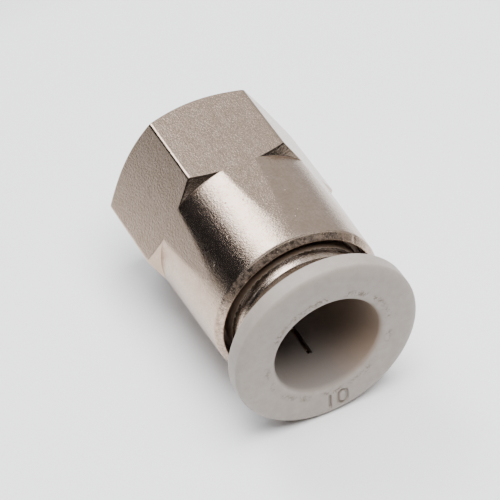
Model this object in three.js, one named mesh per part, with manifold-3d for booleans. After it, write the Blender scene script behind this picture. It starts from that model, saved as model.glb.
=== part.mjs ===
// A straight push-to-connect fitting: a female G1/4 thread at one end, a push-in socket for a
// 10 mm tube at the other. Millimetres. The fitting lies on its side with the tube end towards
// -Y and two wrench flats level. The origin is under its middle, at the height it rests on.
//
// Every piece is described about its own X axis by stations: the distance from the thread-end
// face. The whole fitting is then laid along -Y.

import * as THREE from "three";
import { mergeVertices } from "three/addons/utils/BufferGeometryUtils.js";
import Module from "manifold-3d";

const wasm = await Module();
wasm.setup();

// ---- Driving dimensions ----------------------------------------------------------------------

const TUBE_RADIUS = 5;
const OVERALL_LENGTH = 27.3;
const ROUND_STEPS = 48; // facets around a turned piece, a multiple of four
const RUNNING_GAP = 0.1; // radial play of a piece that slides
const SEAT_GAP = 0.05; // play between pieces that are pressed or clamped together

// Hexagonal body
const HEX_APOTHEM = 17 / 2;
const HEX_CORNER_RADIUS = HEX_APOTHEM / Math.cos(Math.PI / 6);
const BLANK_RADIUS = HEX_CORNER_RADIUS + 0.5; // round envelope that leaves the hexagon whole
const FACE_RADIUS = 8.35; // where the thread-end face meets its chamfer
const CHAMFER_RISE = 0.68; // axial rise of that chamfer per millimetre of radius
const SHOULDER_STATION = 10.1; // where the turned neck starts
const SHOULDER_RISE = 0.58; // axial rise of the 30 degree hexagon shoulder
const NECK_START_RADIUS = 8.69;
const NECK_END_RADIUS = 8.42;
const NECK_END_STATION = 21;
const BODY_END_STATION = 21.65;
const RIM_FACE_RADIUS = 7.88; // where the rim's chamfer meets the narrow face of the mouth
const MOUTH_RADIUS = 7.75;

// Female G1/4 thread
const THREAD_MINOR_RADIUS = 11.445 / 2;
const THREAD_MAJOR_RADIUS = 13.157 / 2;
const THREAD_PITCH = 1.337;
const THREAD_TURNS = 6.5;
const THREAD_DEPTH = 9.8;
const THREAD_STEPS = 32; // facets per turn

// Bore, from the thread to the mouth
const FLOW_RADIUS = 3.75;
const FLOW_START_STATION = 10.4;
const TUBE_STOP_STATION = 11;
const PILOT_RADIUS = TUBE_RADIUS + 0.1;
const SEAL_POCKET_STATION = 13.2;
const SEAL_POCKET_RADIUS = 6.87;
const CARTRIDGE_STATION = 15.4;
const CARTRIDGE_RADIUS = 7.55;
const GAP_FLOOR_STATION = 20; // floor of the ring gap between body and guide collar

// Seal
const SEAL_SECTION_RADIUS = 1;
const SEAL_MIDDLE_RADIUS = 5.85;
const SEAL_STATION = 14.3;

// Retainer of the seal
const RETAINER_CONE_RADIUS = 6.98;
const RETAINER_CONE_STATION = 15.75;

// Grab ring and its teeth
const GRAB_RING_BORE_RADIUS = 7.03;
const TOOTH_COUNT = 14;
const STEEL_THICKNESS = 0.3;
const TOOTH_PIVOT_RADIUS = 6.7;
const TOOTH_PIVOT_STATION = 17.8;
const TOOTH_TIP_RADIUS = 4.85;
const TOOTH_LEAN = THREE.MathUtils.degToRad(35); // towards the tube stop
const TOOTH_ROOT_WIDTH = 2.5;
const TOOTH_TIP_WIDTH = 1.75;

// Guide collar
const GUIDE_RADIUS = 6.94;
const GUIDE_FRONT_STATION = 23.3;
const GUIDE_CHAMFER = 0.42;
const GUIDE_CHAMBER_RADIUS = 6.75;
const GUIDE_STEP_STATION = 20.35;

// Release ring
const SLEEVE_BORE_RADIUS = 5.15;
const SLEEVE_RADIUS = 6.05;
const NOSE_STATION = 18.5;
const NOSE_RADIUS = 5.45;
const NOSE_CONE_LENGTH = 0.65;
const BARB_RADIUS = 6.6;
const BARB_LAND = 0.1;
const FLANGE_RADIUS = 9.2;
const FLANGE_REAR_STATION = 25.1;
const FLANGE_REAR_ROUND = 0.4;
const FLANGE_FACE_RADIUS = 8.05; // where the flat face ends and the front edge rounds away
const FLANGE_FRONT_ROUND = 0.6; // axial depth of that rounding
const MOUTH_BORE_RADIUS = 5.3;
const MOUTH_TAPER_STATION = 24.5;
const BORE_LIP_ROUND = 0.6;
const SLIT_COUNT = 4;
const SLIT_WIDTH = 0.55;
const SLIT_END_STATION = 22.9;
const SLIT_ANGLE = THREE.MathUtils.degToRad(2); // of the first slit, from straight down

// ---- Materials -------------------------------------------------------------------------------

const nickel = new THREE.MeshStandardMaterial({ color: 0xb8ada2, roughness: 0.35, metalness: 1 });
const spring = new THREE.MeshStandardMaterial({ color: 0xc4c6c8, roughness: 0.3, metalness: 1 });
const greyPlastic = new THREE.MeshStandardMaterial({ color: 0xb9b5b0, roughness: 0.6 });
const whitePlastic = new THREE.MeshStandardMaterial({ color: 0xe6e2d8, roughness: 0.55 });
const rubber = new THREE.MeshStandardMaterial({ color: 0x161616, roughness: 0.75 });

// ---- Shape helpers ---------------------------------------------------------------------------

// A closed geometry as a manifold-3d solid.
function solidOf(geometry) {
  const bare = geometry.clone();
  bare.deleteAttribute("normal");
  bare.deleteAttribute("uv");
  const merged = mergeVertices(bare, 1e-4);
  return new wasm.Manifold(
    new wasm.Mesh({
      numProp: 3,
      vertProperties: new Float32Array(merged.attributes.position.array),
      triVerts: new Uint32Array(merged.index.array),
    }),
  );
}

// A manifold-3d solid as a flat-shaded geometry.
function geometryOf(solid) {
  const { vertProperties, triVerts } = solid.getMesh();
  const indexed = new THREE.BufferGeometry();
  indexed.setAttribute("position", new THREE.BufferAttribute(vertProperties, 3));
  indexed.setIndex(new THREE.BufferAttribute(triVerts, 1));
  const flat = indexed.toNonIndexed();
  flat.computeVertexNormals();
  return flat;
}

// A closed turned shape about the X axis. The profile is a list of [station, radius]: along the
// outside towards the tube end, then back along the inside.
function turned(profile) {
  const points = profile.map(([station, radius]) => new THREE.Vector2(radius, station));
  const closesOnAxis = profile[0][1] === 0 && profile.at(-1)[1] === 0;
  if (!closesOnAxis) points.push(points[0].clone());
  return new THREE.LatheGeometry(points, ROUND_STEPS).rotateZ(-Math.PI / 2);
}

// Points of a rounded edge, as [station, radius], from one angle to another about its centre.
// Angle 0 points outwards from the axis, 90 degrees towards the tube end. The edge is a
// quarter of an ellipse where its axial depth differs from its radial width.
function rounded(station, radius, width, fromDegrees, toDegrees, steps = 4, depth = width) {
  return Array.from({ length: steps + 1 }, (_, i) => {
    const angle = THREE.MathUtils.degToRad(fromDegrees + ((toDegrees - fromDegrees) * i) / steps);
    return [station + depth * Math.sin(angle), radius + width * Math.cos(angle)];
  });
}

// The spiral groove that cuts the thread: a three-sided section swept along a helix.
function threadGroove() {
  const clearance = 0.12; // the groove's open side lies this far inside the bore
  const section = [
    [-0.48 * THREAD_PITCH, THREAD_MINOR_RADIUS - clearance],
    [-0.07 * THREAD_PITCH, THREAD_MAJOR_RADIUS],
    [0.07 * THREAD_PITCH, THREAD_MAJOR_RADIUS],
    [0.48 * THREAD_PITCH, THREAD_MINOR_RADIUS - clearance],
  ];
  const steps = Math.round(THREAD_TURNS * THREAD_STEPS);
  const positions = [];
  for (let i = 0; i <= steps; i++) {
    const turn = i / THREAD_STEPS;
    const angle = 2 * Math.PI * turn;
    for (const [offset, radius] of section) {
      const station = THREAD_PITCH * turn + offset;
      positions.push(station, radius * Math.cos(angle), radius * Math.sin(angle));
    }
  }
  const count = section.length;
  const faces = [];
  for (let i = 0; i < steps; i++) {
    for (let k = 0; k < count; k++) {
      const a = i * count + k;
      const b = i * count + ((k + 1) % count);
      faces.push(a, a + count, b, b, a + count, b + count);
    }
  }
  const last = steps * count;
  faces.push(0, 1, 2, 0, 2, 3);
  faces.push(last, last + 2, last + 1, last, last + 3, last + 2);
  const groove = new THREE.BufferGeometry();
  groove.setAttribute("position", new THREE.Float32BufferAttribute(positions, 3));
  groove.setIndex(faces);
  return groove;
}

// ---- Pieces ----------------------------------------------------------------------------------

// Nickel-plated brass body: hexagon bar with a chamfered end, a slightly tapered turned neck, a
// chamfered rim round the mouth and a stepped bore.
function hexBody() {
  const hexagon = new THREE.CylinderGeometry(
    HEX_CORNER_RADIUS,
    HEX_CORNER_RADIUS,
    BODY_END_STATION,
    6,
  )
    .rotateZ(-Math.PI / 2)
    .rotateX(Math.PI / 6)
    .translate(BODY_END_STATION / 2, 0, 0);
  const envelope = turned([
    [0, 0],
    [0, FACE_RADIUS],
    [CHAMFER_RISE * (BLANK_RADIUS - FACE_RADIUS), BLANK_RADIUS],
    [SHOULDER_STATION - SHOULDER_RISE * (BLANK_RADIUS - NECK_START_RADIUS), BLANK_RADIUS],
    [SHOULDER_STATION, NECK_START_RADIUS],
    [NECK_END_STATION, NECK_END_RADIUS],
    [BODY_END_STATION, RIM_FACE_RADIUS],
    [BODY_END_STATION, 0],
  ]);
  const beyond = 1; // the bore's cutter runs this far past each end
  const entry = THREAD_MAJOR_RADIUS + 0.2;
  const bore = turned([
    [-beyond, 0],
    [-beyond, entry],
    [0, entry],
    [entry - THREAD_MINOR_RADIUS, THREAD_MINOR_RADIUS],
    [THREAD_DEPTH, THREAD_MINOR_RADIUS],
    [FLOW_START_STATION, FLOW_RADIUS],
    [TUBE_STOP_STATION, FLOW_RADIUS],
    [TUBE_STOP_STATION, PILOT_RADIUS],
    [SEAL_POCKET_STATION, PILOT_RADIUS],
    [SEAL_POCKET_STATION, SEAL_POCKET_RADIUS],
    [CARTRIDGE_STATION, SEAL_POCKET_RADIUS],
    [CARTRIDGE_STATION, CARTRIDGE_RADIUS],
    [GAP_FLOOR_STATION, CARTRIDGE_RADIUS],
    [GAP_FLOOR_STATION, MOUTH_RADIUS],
    [BODY_END_STATION + beyond, MOUTH_RADIUS],
    [BODY_END_STATION + beyond, 0],
  ]);
  const shell = solidOf(hexagon).intersect(solidOf(envelope));
  return geometryOf(shell.subtract(solidOf(bore)).subtract(solidOf(threadGroove())));
}

// Nitrile ring that seals on the tube.
function tubeSeal() {
  const section = rounded(SEAL_STATION, SEAL_MIDDLE_RADIUS, SEAL_SECTION_RADIUS, -90, 270, 12);
  section.pop();
  return turned(section);
}

// Plastic ring that holds the seal in its pocket. Its cone backs the teeth when they are open.
function sealRetainer() {
  const outside = CARTRIDGE_RADIUS - SEAT_GAP;
  return turned([
    [CARTRIDGE_STATION + SEAT_GAP, TUBE_RADIUS + 0.25],
    [CARTRIDGE_STATION + SEAT_GAP, outside],
    [TOOTH_PIVOT_STATION - 0.2, outside],
    [TOOTH_PIVOT_STATION - 0.2, RETAINER_CONE_RADIUS],
    [RETAINER_CONE_STATION, TUBE_RADIUS + 0.25],
  ]);
}

// Flat rim of the stainless grab ring. It is held between the retainer and the guide collar,
// free to turn with the tube.
function grabRing() {
  const rear = TOOTH_PIVOT_STATION - STEEL_THICKNESS / 2;
  const front = TOOTH_PIVOT_STATION + STEEL_THICKNESS / 2;
  const outside = CARTRIDGE_RADIUS - 0.1;
  return turned([
    [rear, GRAB_RING_BORE_RADIUS],
    [rear, outside],
    [front, outside],
    [front, GRAB_RING_BORE_RADIUS],
  ]);
}

// One tooth of the grab ring, pointing down from its root at the local origin: a tapered tab
// whose tip is hollowed to the tube's curve.
function gripTooth() {
  const length = (TOOTH_PIVOT_RADIUS - TOOTH_TIP_RADIUS) / Math.cos(TOOTH_LEAN);
  const outline = new THREE.Shape();
  outline.moveTo(-TOOTH_ROOT_WIDTH / 2, 0);
  outline.lineTo(-TOOTH_TIP_WIDTH / 2, -length);
  outline.quadraticCurveTo(0, -length + 0.14, TOOTH_TIP_WIDTH / 2, -length);
  outline.lineTo(TOOTH_ROOT_WIDTH / 2, 0);
  const tab = new THREE.ExtrudeGeometry(outline, {
    depth: STEEL_THICKNESS,
    bevelEnabled: false,
    curveSegments: 4,
  });
  // The tab's width runs along Y, its thickness along X.
  return tab.translate(0, 0, -STEEL_THICKNESS / 2).rotateX(Math.PI / 2).rotateZ(Math.PI / 2);
}

// Nickel-plated brass collar pressed into the body: it guides the release ring, stops its barbs
// and keeps the grab ring in.
function guideCollar() {
  const rear = TOOTH_PIVOT_STATION + 0.2;
  const pressed = CARTRIDGE_RADIUS - SEAT_GAP;
  const bore = SLEEVE_RADIUS + RUNNING_GAP;
  const edge = 0.15;
  return turned([
    [rear, GUIDE_CHAMBER_RADIUS],
    [rear, pressed],
    [GAP_FLOOR_STATION - edge, pressed],
    [GAP_FLOOR_STATION, pressed - edge],
    [GAP_FLOOR_STATION, GUIDE_RADIUS],
    [GUIDE_FRONT_STATION - GUIDE_CHAMFER, GUIDE_RADIUS],
    [GUIDE_FRONT_STATION, GUIDE_RADIUS - GUIDE_CHAMFER],
    [GUIDE_FRONT_STATION, bore + edge],
    [GUIDE_FRONT_STATION - edge, bore],
    [GUIDE_STEP_STATION, bore],
    [GUIDE_STEP_STATION, GUIDE_CHAMBER_RADIUS],
  ]);
}

// Grey release ring: a flange to push, and a slit sleeve with barbs that keep it in the collar
// and a coned nose that opens the teeth.
function releaseRing() {
  const front = OVERALL_LENGTH;
  const barbFront = GUIDE_STEP_STATION - 0.1;
  const ring = turned([
    [NOSE_STATION, SLEEVE_BORE_RADIUS + 0.1],
    [NOSE_STATION, NOSE_RADIUS],
    [NOSE_STATION + NOSE_CONE_LENGTH, SLEEVE_RADIUS],
    [barbFront - BARB_LAND, BARB_RADIUS],
    [barbFront, BARB_RADIUS],
    [barbFront, SLEEVE_RADIUS],
    [FLANGE_REAR_STATION, SLEEVE_RADIUS],
    ...rounded(
      FLANGE_REAR_STATION + FLANGE_REAR_ROUND,
      FLANGE_RADIUS - FLANGE_REAR_ROUND,
      FLANGE_REAR_ROUND,
      -90,
      0,
      3,
    ),
    ...rounded(
      front - FLANGE_FRONT_ROUND,
      FLANGE_FACE_RADIUS,
      FLANGE_RADIUS - FLANGE_FACE_RADIUS,
      0,
      90,
      5,
      FLANGE_FRONT_ROUND,
    ),
    ...rounded(front - BORE_LIP_ROUND, MOUTH_BORE_RADIUS + BORE_LIP_ROUND, BORE_LIP_ROUND, 90, 180),
    [MOUTH_TAPER_STATION, SLEEVE_BORE_RADIUS],
    [NOSE_STATION + 0.1, SLEEVE_BORE_RADIUS],
  ]);
  let solid = solidOf(ring);
  const slitStart = NOSE_STATION - 1;
  const slitLength = SLIT_END_STATION - slitStart;
  for (let i = 0; i < SLIT_COUNT; i++) {
    const slit = new THREE.BoxGeometry(slitLength, SLIT_WIDTH, 4)
      .translate(slitStart + slitLength / 2, 0, -SLEEVE_RADIUS)
      .rotateX(SLIT_ANGLE + (2 * Math.PI * i) / SLIT_COUNT);
    solid = solid.subtract(solidOf(slit));
  }
  return geometryOf(solid);
}

// ---- Assembly --------------------------------------------------------------------------------

const fitting = new THREE.Group();
fitting.rotation.z = -Math.PI / 2;
fitting.position.set(0, OVERALL_LENGTH / 2, FLANGE_RADIUS);

function add(name, geometry, material) {
  const mesh = new THREE.Mesh(geometry, material);
  mesh.name = name;
  fitting.add(mesh);
  return mesh;
}

add("hex_body", hexBody(), nickel);
add("tube_seal", tubeSeal(), rubber);
add("seal_retainer", sealRetainer(), whitePlastic);
add("grab_ring", grabRing(), spring);
add("guide_collar", guideCollar(), nickel);
add("release_ring", releaseRing(), greyPlastic);

// The teeth stand round the axis, each on its own pivot and leaning towards the tube stop.
for (let i = 0; i < TOOTH_COUNT; i++) {
  const spoke = new THREE.Group();
  spoke.rotation.x = (2 * Math.PI * i) / TOOTH_COUNT;
  const name = "grip_tooth_" + String(i + 1).padStart(2, "0");
  const tooth = new THREE.Mesh(gripTooth(), spring);
  tooth.name = name;
  tooth.position.set(TOOTH_PIVOT_STATION, 0, TOOTH_PIVOT_RADIUS);
  tooth.rotation.y = TOOTH_LEAN;
  spoke.add(tooth);
  fitting.add(spoke);
}

export default fitting;
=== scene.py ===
"""Looks of a straight push-to-connect fitting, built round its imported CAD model.

Turned shapes are drawn as profiles of (station, radius) in millimetres: the station is the
distance from the thread-end face towards the tube end. Angles run from straight up towards +X.
"""

import math

import bmesh
import bpy
import numpy as np
from mathutils import Matrix, Vector


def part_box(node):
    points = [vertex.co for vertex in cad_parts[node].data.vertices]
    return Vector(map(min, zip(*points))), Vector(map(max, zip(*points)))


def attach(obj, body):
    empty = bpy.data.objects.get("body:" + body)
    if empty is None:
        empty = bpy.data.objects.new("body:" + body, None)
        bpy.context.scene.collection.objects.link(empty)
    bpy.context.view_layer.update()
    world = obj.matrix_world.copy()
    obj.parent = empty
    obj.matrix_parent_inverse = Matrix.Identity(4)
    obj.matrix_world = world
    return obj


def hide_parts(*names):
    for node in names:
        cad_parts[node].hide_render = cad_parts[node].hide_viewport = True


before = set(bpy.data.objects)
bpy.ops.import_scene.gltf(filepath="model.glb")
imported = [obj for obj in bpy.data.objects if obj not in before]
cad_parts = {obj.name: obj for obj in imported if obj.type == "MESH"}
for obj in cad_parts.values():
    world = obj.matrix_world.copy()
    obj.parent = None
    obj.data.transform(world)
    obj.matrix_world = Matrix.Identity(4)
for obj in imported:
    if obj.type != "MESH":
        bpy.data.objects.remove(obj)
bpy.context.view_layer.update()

MM = 0.001

# ---- Places taken from the CAD model ---------------------------------------------------------

ring_low, ring_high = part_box("release_ring")
body_low, body_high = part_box("hex_body")
AXIS_HEIGHT = (ring_low.z + ring_high.z) / 2
THREAD_FACE = body_high.y
LENGTH = (THREAD_FACE - ring_low.y) / MM
FLANGE_RADIUS = (ring_high.z - ring_low.z) / 2 / MM
APOTHEM = (body_high.z - body_low.z) / 2 / MM
BODY_END = (body_high.y - body_low.y) / MM

# ---- Dimensions of the detail, in millimetres ------------------------------------------------

FACE_RADIUS = 8.35
CHAMFER_RISE = 0.68
BLANK_RADIUS = 10.3
SHOULDER_STATION = 10.1
SHOULDER_RISE = 0.58
NECK_START_RADIUS = 8.69
NECK_END_RADIUS = 8.42
NECK_END_STATION = 21.0
RIM_FACE_RADIUS = 7.88
MOUTH_RADIUS = 7.75
EDGE_EASE = 0.13
CORNER_EASE = 0.23
NECK_EASE = 0.02

THREAD_MINOR = 11.445 / 2
THREAD_MAJOR = 13.157 / 2
THREAD_PITCH = 1.337
THREAD_LENGTH = 9.7
THREAD_DEPTH = 9.8

COLLAR_FRONT = 23.3
COLLAR_CHAMFER = 0.42
COLLAR_STEP = 20.35

BORE_RADIUS = 5.15
MOUTH_BORE_RADIUS = 5.3
MOUTH_TAPER_STATION = 24.5
SLEEVE_RADIUS = 6.05
NOSE_STATION = 18.5
FLANGE_REAR = 25.1
FLANGE_REAR_ROUND = 0.4
FLANGE_FACE_RADIUS = 8.05
FLANGE_FRONT_ROUND = 0.6
BORE_LIP_ROUND = 0.6
SLIT_COUNT = 4
SLIT_WIDTH = 0.55
SLIT_END = 22.9
FIRST_SLIT = 178.0
NUMERAL_DEPTH = 0.26
NUMERAL_STROKE = 0.1
NUMERAL_WALL = 0.1

TOOTH_COUNT = 14
TOOTH_PIVOT = (17.8, 6.7)
TOOTH_LEAN = 35.0
TOOTH_LENGTH = 2.258


# ---- Light -----------------------------------------------------------------------------------

SKY_LOW = (0.022, 0.024, 0.028, 1)
SKY_HIGH = (1.42, 1.48, 1.56, 1)
SKY_SIDE = (0.84, 0.85, 0.87, 1)
SKY_FRONT = (0.08, 0.077, 0.075, 1)
SKY_PANEL = (11.0, 11.4, 12.0, 1)
TOP_ENERGY = 8.0
TOP_PLACE = (0.04, -0.13, 0.60)

# ---- Mesh tools ------------------------------------------------------------------------------


def finish_piece(name, mesh, material, body, nodes, sharp=40.0):
    """Links a mesh as a piece that rides on a body and stands for CAD nodes."""
    mesh.materials.append(material)
    for polygon in mesh.polygons:
        polygon.use_smooth = True
    mesh.set_sharp_from_angle(angle=math.radians(sharp))
    piece = bpy.data.objects.new(name, mesh)
    bpy.context.scene.collection.objects.link(piece)
    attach(piece, body)
    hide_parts(*nodes)
    return piece


def place(station, radius, angle):
    """World coordinates, in metres, of stations, radii and angles (degrees) as arrays."""
    turn = np.radians(angle)
    x = radius * np.sin(turn)
    y = THREAD_FACE / MM - station
    z = AXIS_HEIGHT / MM + radius * np.cos(turn)
    return np.stack(np.broadcast_arrays(x, y, z), axis=-1) * MM


def ring_mesh(name, stations, radii, angles):
    """A closed ring: rows run round the profile, columns round the axis."""
    rows, columns = stations.shape
    points = place(stations, radii, angles[None, :]).reshape(-1, 3)
    i, j = np.meshgrid(np.arange(rows), np.arange(columns), indexing="ij")
    down, right = (i + 1) % rows, (j + 1) % columns
    quads = np.stack(
        [i * columns + j, down * columns + j, down * columns + right, i * columns + right],
        axis=-1,
    ).reshape(-1, 4)
    mesh = bpy.data.meshes.new(name)
    mesh.from_pydata(points.tolist(), [], quads.tolist())
    mesh.validate()
    return mesh


def turned(name, profile, columns=256):
    """A closed turned ring from a profile of (station, radius)."""
    profile = np.array(profile, float)
    angles = np.arange(columns) * 360.0 / columns
    stations = np.repeat(profile[:, :1], columns, axis=1)
    radii = np.repeat(profile[:, 1:], columns, axis=1)
    return ring_mesh(name, stations, radii, angles)


def arc(station, radius, width, start, end, steps=6, depth=None):
    """Points of a rounded edge. Angle 0 points outwards, 90 towards the tube end."""
    turn = np.radians(np.linspace(start, end, steps + 1))
    depth = width if depth is None else depth
    return list(zip(station + depth * np.sin(turn), radius + width * np.cos(turn)))


def rounded(points, sizes, steps=4):
    """A closed profile with each corner rounded by its size."""
    points = [np.array(p, float) for p in points]
    result = []
    for k, (here, size) in enumerate(zip(points, sizes)):
        before = points[k - 1] - here
        after = points[(k + 1) % len(points)] - here
        if size <= 0:
            result.append(tuple(here))
            continue
        reach = min(size, 0.45 * np.linalg.norm(before), 0.45 * np.linalg.norm(after))
        first = here + before / np.linalg.norm(before) * reach
        last = here + after / np.linalg.norm(after) * reach
        for t in np.linspace(0, 1, steps + 1):
            result.append(tuple((1 - t) ** 2 * first + 2 * t * (1 - t) * here + t * t * last))
    return result


def soft_min(a, b, blend):
    """The smaller of two fields, with the crease between them eased."""
    share = np.clip(0.5 + 0.5 * (b - a) / blend, 0, 1)
    return b + (a - b) * share - blend * share * (1 - share)


def stretch(start, end, step):
    """Evenly spaced stations from start up to, but not including, end."""
    count = max(1, round(abs(end - start) / step))
    return list(np.linspace(start, end, count, endpoint=False))


# ---- Material tools --------------------------------------------------------------------------


class Nodes:
    """Short hand for building a material's nodes."""

    def __init__(self, name):
        self.material = bpy.data.materials.new(name)
        self.material.use_nodes = True
        self.tree = self.material.node_tree
        self.shader = self.tree.nodes["Principled BSDF"]

    def add(self, kind, **inputs):
        node = self.tree.nodes.new(kind)
        for key, value in inputs.items():
            self.feed(node.inputs[key.replace("_", " ")], value)
        return node

    def feed(self, socket, value):
        if isinstance(value, bpy.types.NodeSocket):
            self.tree.links.new(value, socket)
        else:
            socket.default_value = value

    def math(self, operation, a, b=0.0, clamp=False):
        node = self.tree.nodes.new("ShaderNodeMath")
        node.operation = operation
        node.use_clamp = clamp
        self.feed(node.inputs[0], a)
        self.feed(node.inputs[1], b)
        return node.outputs[0]

    def coordinates(self, scale=(1, 1, 1)):
        """Object coordinates in millimetres, stretched by scale."""
        source = self.add("ShaderNodeTexCoord").outputs["Object"]
        mapping = self.add("ShaderNodeMapping", Vector=source)
        mapping.inputs["Scale"].default_value = tuple(s / MM for s in scale)
        return mapping.outputs[0]

    def noise(self, vector, scale, detail=2.0, roughness=0.5):
        node = self.add("ShaderNodeTexNoise", Vector=vector, Scale=scale, Detail=detail)
        node.inputs["Roughness"].default_value = roughness
        return node.outputs["Fac"]

    def remap(self, value, low, high, to_low=0.0, to_high=1.0):
        node = self.add("ShaderNodeMapRange", Value=value)
        node.inputs["From Min"].default_value = low
        node.inputs["From Max"].default_value = high
        node.inputs["To Min"].default_value = to_low
        node.inputs["To Max"].default_value = to_high
        return node.outputs["Result"]

    def mix(self, share, a, b):
        node = self.tree.nodes.new("ShaderNodeMix")
        node.data_type = "RGBA"
        self.feed(node.inputs["Factor"], share)
        self.feed(node.inputs["A"], a)
        self.feed(node.inputs["B"], b)
        return node.outputs["Result"]

    def radius(self, plain):
        """Distance from the fitting's axis, in millimetres."""
        parts = self.add("ShaderNodeSeparateXYZ", Vector=plain).outputs
        across = self.math("POWER", self.math("ABSOLUTE", parts["X"]), 2.0)
        rise = self.math("ABSOLUTE", self.math("SUBTRACT", parts["Z"], AXIS_HEIGHT / MM))
        return self.math("SQRT", self.math("ADD", across, self.math("POWER", rise, 2.0)))

    def past(self, plain, station, ragged=0.25):
        """1 nearer the tube end than a station, 0 before it, with a ragged border."""
        along = self.add("ShaderNodeSeparateXYZ", Vector=plain).outputs["Y"]
        wander = self.math("MULTIPLY", self.noise(plain, 3.0, 3.0), ragged)
        edge = THREAD_FACE / MM - station
        place = self.math("ADD", along, wander)
        return self.remap(place, edge + ragged, edge + ragged * 0.4)

    def spots(self, vector, scale, size, share):
        """Scattered round spots: 1 inside a spot, 0 outside. share is how many cells have one."""
        node = self.add("ShaderNodeTexVoronoi", Vector=vector, Scale=scale)
        near = self.remap(node.outputs["Distance"], size, size * 0.45)
        pick = self.add("ShaderNodeSeparateColor", Color=node.outputs["Color"]).outputs[0]
        return self.math("MULTIPLY", near, self.math("LESS_THAN", pick, share))

    def bump(self, height, distance_mm, strength=1.0, under=None):
        node = self.add("ShaderNodeBump", Height=height)
        node.inputs["Distance"].default_value = distance_mm * MM
        node.inputs["Strength"].default_value = strength
        if under is not None:
            self.tree.links.new(under, node.inputs["Normal"])
        return node.outputs["Normal"]

    def set(self, **inputs):
        for key, value in inputs.items():
            self.feed(self.shader.inputs[key.replace("_", " ")], value)
        return self.material


def rgb(red, green, blue):
    return (red, green, blue, 1.0)


def plated_metal(name, base, worn, roughness, lines, grain, tarnish_and_shade=None):
    """Bright nickel plate: turning lines round the axis, a pitted grain and warm stains.
    Its last argument gives, from station and radius, the share of a dark brown film:
    a real stain in places, painted shade in others."""
    n = Nodes(name)
    plain = n.coordinates()
    stain = n.noise(plain, 0.9, 5.0, 0.65)
    cloud = n.noise(plain, 2.6, 3.0)
    pits = n.spots(plain, 1.5, 0.13, 0.34)
    specks = n.spots(plain, 3.3, 0.16, 0.16)
    colour = n.mix(n.remap(stain, 0.35, 0.75), rgb(*base), rgb(*worn))
    dark = rgb(*(0.35 * c for c in worn))
    colour = n.mix(n.math("MULTIPLY", specks, 0.5), colour, dark)
    speckle = n.noise(plain, 4.2, 4.0, 0.8)
    dull = rgb(*(0.72 * c for c in worn))
    colour = n.mix(n.remap(speckle, 0.44, 0.72, 0.0, 0.6), colour, dull)
    metallic = 1.0
    rough = n.remap(cloud, 0.3, 0.7, roughness * 0.85, roughness * 1.2)
    if tarnish_and_shade is not None:
        film = tarnish_and_shade(n, plain)
        # The dark brown colour, lower metallic and extra roughness paint a real stain and, in the
        # ring gap, painted shade.
        colour = n.mix(film, colour, rgb(0.11, 0.066, 0.043))
        metallic = n.remap(film, 0.0, 1.0, 1.0, 0.35)
        rough = n.math("ADD", rough, n.math("MULTIPLY", film, 0.25))
    turning = n.noise(n.coordinates((0.04, 1, 0.04)), 9.0, 3.0, 0.7)
    fine = n.noise(plain, 4.8, 3.0, 0.7)
    broad = n.noise(plain, 0.8, 2.0)
    normal = n.bump(broad, 0.02, 0.2)
    normal = n.bump(turning, 0.004, lines, normal)
    normal = n.bump(fine, 0.045, grain, normal)
    normal = n.bump(n.math("SUBTRACT", 1.0, pits), 0.035, 0.8, normal)
    return n.set(Base_Color=colour, Metallic=metallic, Roughness=rough, Normal=normal)


def mouth_shade_and_tarnish(n, plain):
    """Near-black brown painted on the mouth's inner wall in the ring gap, as painted shade; a
    thinner, patchy brown stain on the body's rim.
    """
    # Painted shade: the mouth's inner wall past station 19.8 takes the near-black brown.
    gap = n.math("MULTIPLY", n.past(plain, 19.8), n.remap(n.radius(plain), 7.84, 7.76))
    patch = n.remap(n.noise(plain, 2.4, 5.0, 0.75), 0.42, 0.68, 0.0, 0.55)
    rim = n.math("MULTIPLY", n.past(plain, NECK_END_STATION + 0.06), patch)
    return n.math("MAXIMUM", gap, rim)


def collar_shade_and_tarnish(n, plain):
    """Dark brown painted on the collar's foot inside the ring gap, as painted shade, with thin rings
    of brown film further out.
    """
    # Painted shade: the collar's foot, inside the ring gap, takes 0.9 of the dark brown.
    foot = n.math("SUBTRACT", 1.0, n.past(plain, 21.75, 0.5))
    rings = n.remap(n.noise(n.coordinates((0.12, 1, 0.12)), 2.6, 4.0, 0.7), 0.52, 0.7, 0.0, 0.45)
    return n.math("MAXIMUM", n.math("MULTIPLY", foot, 0.9), rings)


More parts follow.
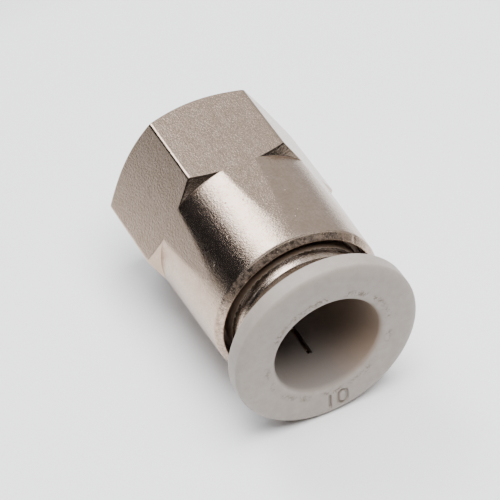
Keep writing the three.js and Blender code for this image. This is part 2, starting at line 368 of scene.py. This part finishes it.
def moulded_plastic(name, base, shade, roughness, lip=None):
    """Satin moulded plastic: faint mottling, a few dirt specks, a fine skin. lip is the radius
    of a mouth whose bore is painted darker, as painted shade, and browner towards +X, with dirt on
    its edge."""
    n = Nodes(name)
    plain = n.coordinates()
    mottle = n.noise(plain, 1.3, 4.0, 0.6)
    specks = n.spots(plain, 1.9, 0.13, 0.12)
    fine_specks = n.spots(plain, 4.5, 0.2, 0.09)
    colour = n.mix(n.remap(mottle, 0.35, 0.7), rgb(*base), rgb(*shade))
    dirt = n.math("MAXIMUM", n.math("MULTIPLY", specks, 0.5), n.math("MULTIPLY", fine_specks, 0.6))
    colour = n.mix(dirt, colour, rgb(0.13, 0.10, 0.075))
    if lip is not None:
        # Painted shade: inside the bore the colour drops to a darker grey, turning browner towards
        # +X.
        radius = n.radius(plain)
        inside = n.remap(radius, lip + 0.3, lip)
        side = n.add("ShaderNodeSeparateXYZ", Vector=plain).outputs["X"]
        grey = rgb(0.6 * base[0], 0.59 * base[1], 0.6 * base[2])
        brown = rgb(0.84 * base[0], 0.70 * base[1], 0.59 * base[2])
        bore_painted_shade = n.mix(n.remap(side, 0.8, 4.6), grey, brown)
        colour = n.mix(inside, colour, bore_painted_shade)
        near = n.math("ABSOLUTE", n.math("SUBTRACT", radius, lip + 0.9))
        band = n.math("MULTIPLY", n.remap(near, 0.45, 0.12), n.past(plain, 26.4))
        lower = n.remap(n.noise(plain, 0.45, 1.0), 0.46, 0.56)
        patch = n.math("MULTIPLY", n.remap(n.noise(plain, 3.1, 4.0, 0.75), 0.47, 0.58), lower)
        grime = rgb(0.36 * base[0], 0.27 * base[1], 0.2 * base[2])
        colour = n.mix(n.math("MULTIPLY", n.math("MULTIPLY", band, patch), 0.8), colour, grime)
    skin = n.noise(plain, 7.0, 3.0, 0.6)
    wave = n.noise(plain, 0.9, 2.0)
    normal = n.bump(wave, 0.03, 0.4)
    normal = n.bump(skin, 0.012, 0.5, normal)
    rough = n.remap(mottle, 0.3, 0.7, roughness * 0.9, roughness * 1.12)
    return n.set(Base_Color=colour, Roughness=rough, Normal=normal)


# ---- Camera ----------------------------------------------------------------------------------

CAMERA_AZIMUTH = -23.74
CAMERA_ELEVATION = 45.08
CAMERA_ROLL = -3.97
CAMERA_DISTANCE = 243.8 * MM
CAMERA_LENS = 180.0
AIM = Vector((2.06 * MM, THREAD_FACE - 6.466 * MM, AXIS_HEIGHT - 6.93 * MM))

azimuth, elevation = math.radians(CAMERA_AZIMUTH), math.radians(CAMERA_ELEVATION)
back = Vector(
    (
        math.sin(azimuth) * math.cos(elevation),
        -math.cos(azimuth) * math.cos(elevation),
        math.sin(elevation),
    )
)
camera = bpy.data.objects.new("camera", bpy.data.cameras.new("camera"))
bpy.context.scene.collection.objects.link(camera)
camera.data.lens = CAMERA_LENS
camera.data.sensor_width = 36.0
camera.data.clip_start = 0.01
camera.data.clip_end = 10.0
turn = (-back).to_track_quat("-Z", "Y").to_matrix() @ Matrix.Rotation(
    math.radians(CAMERA_ROLL), 3, "Z"
)
camera.matrix_world = Matrix.Translation(AIM + back * CAMERA_DISTANCE) @ turn.to_4x4()
bpy.context.scene.camera = camera

# ---- Materials -------------------------------------------------------------------------------

# Two copies of one nickel plate: the body's has a darker base colour, painted shade that dims its
# reflections, and the collar's keeps a lighter base, painted light that brightens its highlights.
nickel = plated_metal(
    "nickel_plate",
    (0.52, 0.40, 0.317),
    (0.45, 0.33, 0.243),
    0.2,
    lines=0.35,
    grain=0.6,
    tarnish_and_shade=mouth_shade_and_tarnish,
)
nickel_collar_painted_lighter = plated_metal(
    "nickel_plate_collar",
    (0.66, 0.54, 0.45),
    (0.45, 0.32, 0.225),
    0.2,
    lines=0.9,
    grain=0.5,
    tarnish_and_shade=collar_shade_and_tarnish,
)
steel = plated_metal(
    "spring_steel", (0.62, 0.62, 0.62), (0.52, 0.52, 0.52), 0.28, lines=0.3, grain=0.3
)
grey_plastic = moulded_plastic(
    "grey_plastic", (0.332, 0.289, 0.255), (0.302, 0.259, 0.223), 0.5, lip=MOUTH_BORE_RADIUS
)
white_plastic = moulded_plastic("white_plastic", (0.74, 0.71, 0.64), (0.68, 0.64, 0.57), 0.45)
nitrile = moulded_plastic("nitrile_rubber", (0.018, 0.018, 0.018), (0.028, 0.027, 0.026), 0.6)

# ---- Body ------------------------------------------------------------------------------------


def body_angles():
    """Columns round the hexagon, closer together at its corners."""
    near = np.linspace(-1.6, 1.6, 17)
    flat = np.linspace(2.3, 57.7, 44)
    return np.sort(
        np.concatenate([corner * 60.0 + 30.0 + np.append(near, flat) for corner in range(6)]) % 360
    )


def hexagon_radius(angles):
    """Distance from the axis to the hexagon at each angle, its corners eased."""
    offset = (angles + 30.0) % 60.0 - 30.0
    here = APOTHEM / np.cos(np.radians(offset))
    beside = APOTHEM / np.cos(np.radians(60.0 - np.abs(offset)))
    return soft_min(here, beside, CORNER_EASE)


def envelope_radius(station):
    """Radius of the turned envelope that the hexagon is cut to."""
    front = FACE_RADIUS + station / CHAMFER_RISE
    shoulder = NECK_START_RADIUS + (SHOULDER_STATION - station) / SHOULDER_RISE
    run = (station - SHOULDER_STATION) / (NECK_END_STATION - SHOULDER_STATION)
    neck = NECK_START_RADIUS + (NECK_END_RADIUS - NECK_START_RADIUS) * run
    return min(front, BLANK_RADIUS, max(shoulder, neck))


def thread_radius(stations, angles):
    """The internal thread's wall: a rounded 55 degree form that fades out at both ends."""
    phase = (stations / THREAD_PITCH - angles / 360.0) % 1.0
    form = 0.5 - 0.5 * np.cos(2 * np.pi * phase)
    form = np.clip((form - 0.5) * 1.35 + 0.5, 0.0, 1.0)
    fade = np.clip((THREAD_LENGTH - stations) / 1.1, 0, 1)
    return THREAD_MINOR + (THREAD_MAJOR - THREAD_MINOR) * form * fade


def rim_dents(angles):
    """Depth of the small knocks on the mouth's rim at each angle."""
    rng = np.random.default_rng(11)
    depth = np.zeros_like(angles)
    for centre, width, size in zip(
        rng.uniform(0, 360, 34), rng.uniform(0.7, 2.4, 34), rng.uniform(0.01, 0.045, 34)
    ):
        away = (angles - centre + 180) % 360 - 180
        depth += size * np.exp(-((away / width) ** 2))
    return depth


def hex_body():
    angles = body_angles()
    hexagon = hexagon_radius(angles)
    stations = (
        stretch(0.0, 1.2, 0.04)
        + stretch(1.2, 9.0, 0.5)
        + stretch(9.0, 10.3, 0.035)
        + stretch(10.3, NECK_END_STATION, 0.3)
    )
    rows = []
    for s in stations:
        ease = NECK_EASE if s > SHOULDER_STATION else EDGE_EASE
        envelope = np.full_like(angles, envelope_radius(s))
        rows.append((np.full_like(angles, s), soft_min(hexagon, envelope, ease)))
    inside = MOUTH_RADIUS
    slope = (RIM_FACE_RADIUS - NECK_END_RADIUS) / (BODY_END - NECK_END_STATION)
    mouth = (
        [(20.86, 8.422), (20.92, 8.418), (20.98, 8.405), (21.03, 8.375), (21.07, 8.34)]
        + [(s, NECK_END_RADIUS + slope * (s - NECK_END_STATION)) for s in stretch(21.1, 21.56, 0.05)]
        + [(21.57, 7.94), (21.61, 7.908), (21.637, 7.883), (21.645, 7.86), (21.645, 7.79)]
        + [(21.63, 7.765), (21.6, inside)]
        + [(20.9, inside), (20.1, inside), (20.0, inside - 0.1)]
        + [(19.98, 7.55), (15.45, 7.55), (15.4, 7.5)]
        + [(15.4, 6.92), (15.35, 6.87), (13.25, 6.87), (13.2, 6.82)]
        + [(13.2, 5.25), (13.05, 5.1), (11.05, 5.1), (11.0, 5.05)]
        + [(11.0, 3.85), (10.9, 3.75), (10.45, 3.75)]
        + [(10.4, 3.8), (THREAD_DEPTH + 0.02, THREAD_MINOR - 0.02)]
    )
    dents = rim_dents(angles)
    for s, r in mouth:
        on_rim = np.clip(1 - np.abs(s - 21.3) / 0.45, 0, 1) if r > inside + 0.05 else 0.0
        rows.append((np.full_like(angles, s), r - dents * on_rim))
    for s in reversed(stretch(0.05, THREAD_DEPTH, THREAD_PITCH / 14)):
        wall = thread_radius(np.full_like(angles, s), angles)
        rows.append((np.full_like(angles, s), np.maximum(wall, THREAD_MAJOR + 0.2 - s)))
    for s, r in ((0.012, THREAD_MAJOR + 0.2), (0.0, THREAD_MAJOR + 0.25), (0.0, FACE_RADIUS - 0.06)):
        rows.append((np.full_like(angles, s), np.full_like(angles, r)))
    mesh = ring_mesh(
        "hex_body_shell", np.array([r[0] for r in rows]), np.array([r[1] for r in rows]), angles
    )
    finish_piece(
        "plated_hex_body", mesh, nickel, "fitting_body", ["hex_body"], sharp=60.0
    )


# ---- Turned pieces inside the body -----------------------------------------------------------


def guide_collar():
    profile = rounded(
        [
            (18.0, 6.75),
            (18.0, 7.5),
            (20.0, 7.5),
            (20.0, 6.94),
            (COLLAR_FRONT - COLLAR_CHAMFER, 6.94),
            (COLLAR_FRONT, 6.94 - COLLAR_CHAMFER),
            (COLLAR_FRONT, 6.15),
            (COLLAR_STEP, 6.15),
            (COLLAR_STEP, 6.75),
        ],
        [0.05, 0.12, 0.12, 0.1, 0.06, 0.06, 0.14, 0.05, 0.1],
    )
    mesh = turned("guide_collar_shell", profile)
    finish_piece(
        "turned_guide_collar",
        mesh,
        nickel_collar_painted_lighter,
        "fitting_body",
        ["guide_collar"],
    )


def tube_seal():
    section = []
    for k in range(40):
        turn = 2 * math.pi * k / 40
        bulge = 1.0 - 0.12 * math.exp(-((math.sin(turn / 2 + 0.0) / 0.12) ** 2))
        section.append((14.3 + math.sin(turn) * 0.99 * bulge, 5.85 + math.cos(turn) * 0.99 * bulge))
    mesh = turned("tube_seal_shell", section)
    finish_piece(
        "nitrile_tube_seal", mesh, nitrile, "fitting_body", ["tube_seal"]
    )


def seal_retainer():
    profile = rounded(
        [(15.45, 5.25), (15.45, 7.5), (17.6, 7.5), (17.6, 6.98), (15.75, 5.25)],
        [0.06, 0.15, 0.08, 0.05, 0.05],
    )
    mesh = turned("seal_retainer_shell", profile)
    finish_piece(
        "moulded_seal_retainer",
        mesh,
        white_plastic,
        "fitting_body",
        ["seal_retainer"],
    )


def grab_ring():
    profile = rounded([(17.65, 7.03), (17.65, 7.45), (17.95, 7.45), (17.95, 7.03)], [0.05] * 4)
    mesh = turned("grab_ring_shell", profile)
    finish_piece("steel_grab_ring", mesh, steel, "grab_ring", ["grab_ring"])


# ---- Teeth -----------------------------------------------------------------------------------


def tooth_mesh():
    """One tooth in its own frame: root at the origin, pointing down, its thickness along X."""
    outline = [(-1.25, 0.0), (-0.875, -TOOTH_LENGTH)]
    for t in np.linspace(0, 1, 9)[1:-1]:
        dip = 2 * t * (1 - t) * 0.14
        outline.append((-0.875 + 1.75 * t, -TOOTH_LENGTH + dip))
    outline += [(0.875, -TOOTH_LENGTH), (1.25, 0.0)]
    outline.reverse()
    thickness = 0.3
    work = bmesh.new()
    front = [work.verts.new((thickness / 2, y, z)) for y, z in outline]
    rear = [work.verts.new((-thickness / 2, y, z)) for y, z in outline]
    work.faces.new(front)
    work.faces.new(list(reversed(rear)))
    count = len(outline)
    for k in range(count):
        after = (k + 1) % count
        work.faces.new((front[k], rear[k], rear[after], front[after]))
    bmesh.ops.recalc_face_normals(work, faces=work.faces)
    rim = [e for e in work.edges if e.is_manifold and e.calc_face_angle() > 0.7]
    bmesh.ops.bevel(work, geom=rim, offset=0.04, segments=2, affect="EDGES", profile=0.5)
    bmesh.ops.scale(work, vec=(MM, MM, MM), verts=work.verts)
    mesh = bpy.data.meshes.new("tooth_shell")
    work.to_mesh(mesh)
    work.free()
    return mesh


def grip_teeth():
    lie = Matrix.Translation((0, THREAD_FACE, AXIS_HEIGHT)) @ Matrix.Rotation(
        -math.pi / 2, 4, "Z"
    )
    for k in range(TOOTH_COUNT):
        node = f"grip_tooth_{k + 1:02d}"
        mesh = tooth_mesh()
        spoke = Matrix.Rotation(2 * math.pi * k / TOOTH_COUNT, 4, "X")
        station, radius = TOOTH_PIVOT
        pivot = Matrix.Translation((station * MM, 0, radius * MM))
        mesh.transform(lie @ spoke @ pivot @ Matrix.Rotation(math.radians(TOOTH_LEAN), 4, "Y"))
        finish_piece(f"steel_{node}", mesh, steel, node, [node])


# ---- Release ring ----------------------------------------------------------------------------


def numeral_distance(x, z):
    """Distance, in millimetres, from points on the ring's face to the strokes of the number 10."""

    def bar(ax, az, bx, bz):
        length = (bx - ax) ** 2 + (bz - az) ** 2
        t = np.clip(((x - ax) * (bx - ax) + (z - az) * (bz - az)) / length, 0, 1)
        return np.hypot(x - ax - t * (bx - ax), z - az - t * (bz - az))

    one = bar(-0.1, -8.15, -0.12, -6.62)
    centre, half, low, high = 1.2, 0.46, -7.62, -6.92
    left = bar(centre - half, low, centre - half, high)
    right = bar(centre + half, low, centre + half, high)
    bow_low = np.abs(np.hypot(x - centre, z - low) - half)
    bow_low = np.where(z < low, bow_low, 9.0)
    bow_high = np.abs(np.hypot(x - centre, z - high) - half)
    bow_high = np.where(z > high, bow_high, 9.0)
    return np.minimum.reduce([one, left, right, bow_low, bow_high])


def ring_columns():
    """Angles of the release ring's columns, closest under the number, with some on slit edges."""
    half_slit = math.degrees(SLIT_WIDTH / 2 / ((BORE_RADIUS + SLEEVE_RADIUS) / 2))
    slits = [(FIRST_SLIT + 360.0 * k / SLIT_COUNT) % 360 for k in range(SLIT_COUNT)]
    edges = [(s + side * half_slit) % 360 for s in slits for side in (-1, 1)]
    coarse = np.arange(0, 360, 1.5)
    fine = np.arange(159.0, 186.0, 0.4)
    coarse = coarse[(coarse < 158.5) | (coarse > 186.5)]
    angles = np.concatenate([coarse, fine])
    for edge in edges:
        angles = angles[np.abs((angles - edge + 180) % 360 - 180) > 0.15]
    return np.sort(np.concatenate([angles, edges])), edges


def release_ring():
    nose = [(0.05, 5.2), (0.01, 5.3), (0.05, 5.42), (0.65, 6.03), (1.15, 6.3), (1.61, 6.56)]
    barb = [(1.67, 6.59), (1.73, 6.57), (1.75, 6.5), (1.75, 6.15), (1.81, 6.05)]
    profile = [(NOSE_STATION + s, r) for s, r in nose + barb]
    sleeve = stretch(20.8, SLIT_END, 0.5) + [SLIT_END] + stretch(23.4, FLANGE_REAR - 0.35, 0.5)
    profile += [(s, SLEEVE_RADIUS) for s in sleeve]
    profile += arc(FLANGE_REAR - 0.3, SLEEVE_RADIUS + 0.3, 0.3, 180, 90, 5)
    rear_edge = FLANGE_RADIUS - FLANGE_REAR_ROUND
    profile += [(FLANGE_REAR, r) for r in stretch(6.6, rear_edge, 0.4)]
    profile += arc(FLANGE_REAR + FLANGE_REAR_ROUND, rear_edge, FLANGE_REAR_ROUND, -90, 0, 8)
    profile += [(s, FLANGE_RADIUS) for s in stretch(25.7, 26.6, 0.3)]
    profile += arc(
        LENGTH - FLANGE_FRONT_ROUND,
        FLANGE_FACE_RADIUS,
        FLANGE_RADIUS - FLANGE_FACE_RADIUS,
        0,
        90,
        18,
        FLANGE_FRONT_ROUND,
    )
    inner_edge = MOUTH_BORE_RADIUS + BORE_LIP_ROUND
    profile += [(LENGTH, r) for r in stretch(FLANGE_FACE_RADIUS, inner_edge, 0.05)[1:]]
    profile += arc(LENGTH - BORE_LIP_ROUND, inner_edge, BORE_LIP_ROUND, 90, 180, 12)
    taper = (MOUTH_BORE_RADIUS - BORE_RADIUS) / (LENGTH - BORE_LIP_ROUND - MOUTH_TAPER_STATION)
    inside = stretch(26.3, SLIT_END, 0.5) + [SLIT_END] + stretch(22.4, 18.9, 0.5)
    profile += [(s, BORE_RADIUS + taper * max(0.0, s - MOUTH_TAPER_STATION)) for s in inside]
    profile += [(NOSE_STATION + 0.15, BORE_RADIUS)]
    profile = np.array(profile)
    angles, edges = ring_columns()
    stations = np.repeat(profile[:, :1], len(angles), axis=1)
    radii = np.repeat(profile[:, 1:], len(angles), axis=1)
    x = radii * np.sin(np.radians(angles))
    z = radii * np.cos(np.radians(angles))
    depth = numeral_distance(x, z)
    sunk = 1 - np.clip((depth - NUMERAL_STROKE) / NUMERAL_WALL, 0, 1)
    on_face = (stations > LENGTH - 0.3) & (radii > inner_edge - 0.2)
    stations = stations - np.where(on_face, NUMERAL_DEPTH * sunk * sunk * (3 - 2 * sunk), 0)
    mesh = ring_mesh("release_ring_shell", stations, radii, angles)
    cut_slits(mesh, profile, angles, edges)
    finish_piece(
        "moulded_release_ring", mesh, grey_plastic, "release_ring", ["release_ring"]
    )


def cut_slits(mesh, profile, angles, edges):
    """Opens the sleeve between each pair of slit columns and closes the cut with flat walls."""
    rows, columns = len(profile), len(angles)
    on_end = np.where(np.abs(profile[:, 0] - SLIT_END) < 1e-6)[0]
    outside_end, inside_end = int(on_end.min()), int(on_end.max())
    span = list(range(inside_end, rows)) + list(range(0, outside_end + 1))
    work = bmesh.new()
    work.from_mesh(mesh)
    work.verts.ensure_lookup_table()
    grid = list(work.verts)
    faces = {frozenset(v.index for v in f.verts): f for f in work.faces}
    for k in range(0, len(edges), 2):
        left = int(np.argmin(np.abs(angles - edges[k])))
        right = int(np.argmin(np.abs(angles - edges[k + 1])))
        across = [(left + i) % columns for i in range((right - left) % columns + 1)]
        doomed = []
        for a, b in zip(span[:-1], span[1:]):
            for c, d in zip(across[:-1], across[1:]):
                corners = (a * columns + c, b * columns + c, a * columns + d, b * columns + d)
                doomed.append(faces[frozenset(corners)])
        bmesh.ops.delete(work, geom=doomed, context="FACES_ONLY")
        for column in (left, right):
            work.faces.new([grid[row * columns + column] for row in span])
        outer = [grid[outside_end * columns + column] for column in across]
        inner = [grid[inside_end * columns + column] for column in reversed(across)]
        work.faces.new(outer + inner)
    loose = [v for v in work.verts if not v.link_faces]
    bmesh.ops.delete(work, geom=loose, context="VERTS")
    stray = [e for e in work.edges if not e.link_faces]
    bmesh.ops.delete(work, geom=stray, context="EDGES")
    bmesh.ops.triangulate(work, faces=[f for f in work.faces if len(f.verts) > 4])
    bmesh.ops.recalc_face_normals(work, faces=work.faces)
    work.to_mesh(mesh)
    work.free()


# ---- Floor and light -------------------------------------------------------------------------


def studio():
    n = Nodes("studio_floor")
    plain = n.coordinates()
    cloud = n.noise(plain, 0.05, 2.0)
    pale = n.mix(n.remap(cloud, 0.3, 0.7), rgb(0.91, 0.91, 0.91), rgb(0.93, 0.93, 0.93))
    length = n.add("ShaderNodeVectorMath", Vector=plain)
    length.operation = "LENGTH"
    # Painted shade: from about 52 to 95 mm out from the origin the floor darkens to dark grey, so
    # the metal reflects a darker floor.
    far = n.remap(length.outputs["Value"], 52.0, 95.0)
    n.set(Base_Color=n.mix(far, pale, rgb(0.2, 0.2, 0.2)), Roughness=0.7)
    half = 1.5
    mesh = bpy.data.meshes.new("studio_floor")
    corners = [(-half, -half, 0), (half, -half, 0), (half, half, 0), (-half, half, 0)]
    mesh.from_pydata(corners, [], [(0, 1, 2, 3)])
    mesh.materials.append(n.material)
    floor = bpy.data.objects.new("studio_floor", mesh)
    floor.location.z = -0.00002
    bpy.context.scene.collection.objects.link(floor)


def sky():
    """Soft surroundings: dark round the horizon and behind the camera, pale above, and a bright
    panel over the far side."""
    world = bpy.data.worlds.new("studio")
    bpy.context.scene.world = world
    world.use_nodes = True
    tree = world.node_tree
    background = tree.nodes["Background"]
    direction = tree.nodes.new("ShaderNodeTexCoord").outputs["Generated"]

    def lobe(toward, inner, outer):
        """1 within inner degrees of a direction, falling to 0 at outer degrees."""
        dot = tree.nodes.new("ShaderNodeVectorMath")
        dot.operation = "DOT_PRODUCT"
        tree.links.new(direction, dot.inputs[0])
        dot.inputs[1].default_value = Vector(toward).normalized()
        ramp = tree.nodes.new("ShaderNodeMapRange")
        ramp.interpolation_type = "SMOOTHSTEP"
        tree.links.new(dot.outputs["Value"], ramp.inputs["Value"])
        ramp.inputs["From Min"].default_value = math.cos(math.radians(outer))
        ramp.inputs["From Max"].default_value = math.cos(math.radians(inner))
        return ramp.outputs["Result"]

    def over(share, below, colour):
        mix = tree.nodes.new("ShaderNodeMix")
        mix.data_type = "RGBA"
        tree.links.new(share, mix.inputs["Factor"])
        if isinstance(below, bpy.types.NodeSocket):
            tree.links.new(below, mix.inputs["A"])
        else:
            mix.inputs["A"].default_value = below
        mix.inputs["B"].default_value = colour
        return mix.outputs["Result"]

    light = over(lobe((0.12, 0, 1), 45, 54), SKY_LOW, SKY_HIGH)
    light = over(lobe((0.75, 0.62, 0.15), 42, 58), light, SKY_SIDE)
    light = over(lobe((0.1, -0.74, 0.66), 30, 46), light, SKY_FRONT)
    light = over(lobe((-0.14, 0.66, 0.74), 6, 18), light, SKY_PANEL)
    tree.links.new(light, background.inputs["Color"])
    background.inputs["Strength"].default_value = 1.0


def top_light():
    """A broad soft lamp overhead that lights the floor and the plastic but leaves no glare."""
    data = bpy.data.lights.new("top_light", "AREA")
    data.energy = TOP_ENERGY
    data.size = 0.4
    lamp = bpy.data.objects.new("top_light", data)
    spot = Vector(TOP_PLACE)
    lamp.location = spot
    lamp.rotation_mode = "QUATERNION"
    lamp.rotation_quaternion = (-spot).to_track_quat("-Z", "Y")
    lamp.visible_glossy = False
    bpy.context.scene.collection.objects.link(lamp)


hex_body()
guide_collar()
tube_seal()
seal_retainer()
grab_ring()
grip_teeth()
release_ring()
studio()
sky()
top_light()
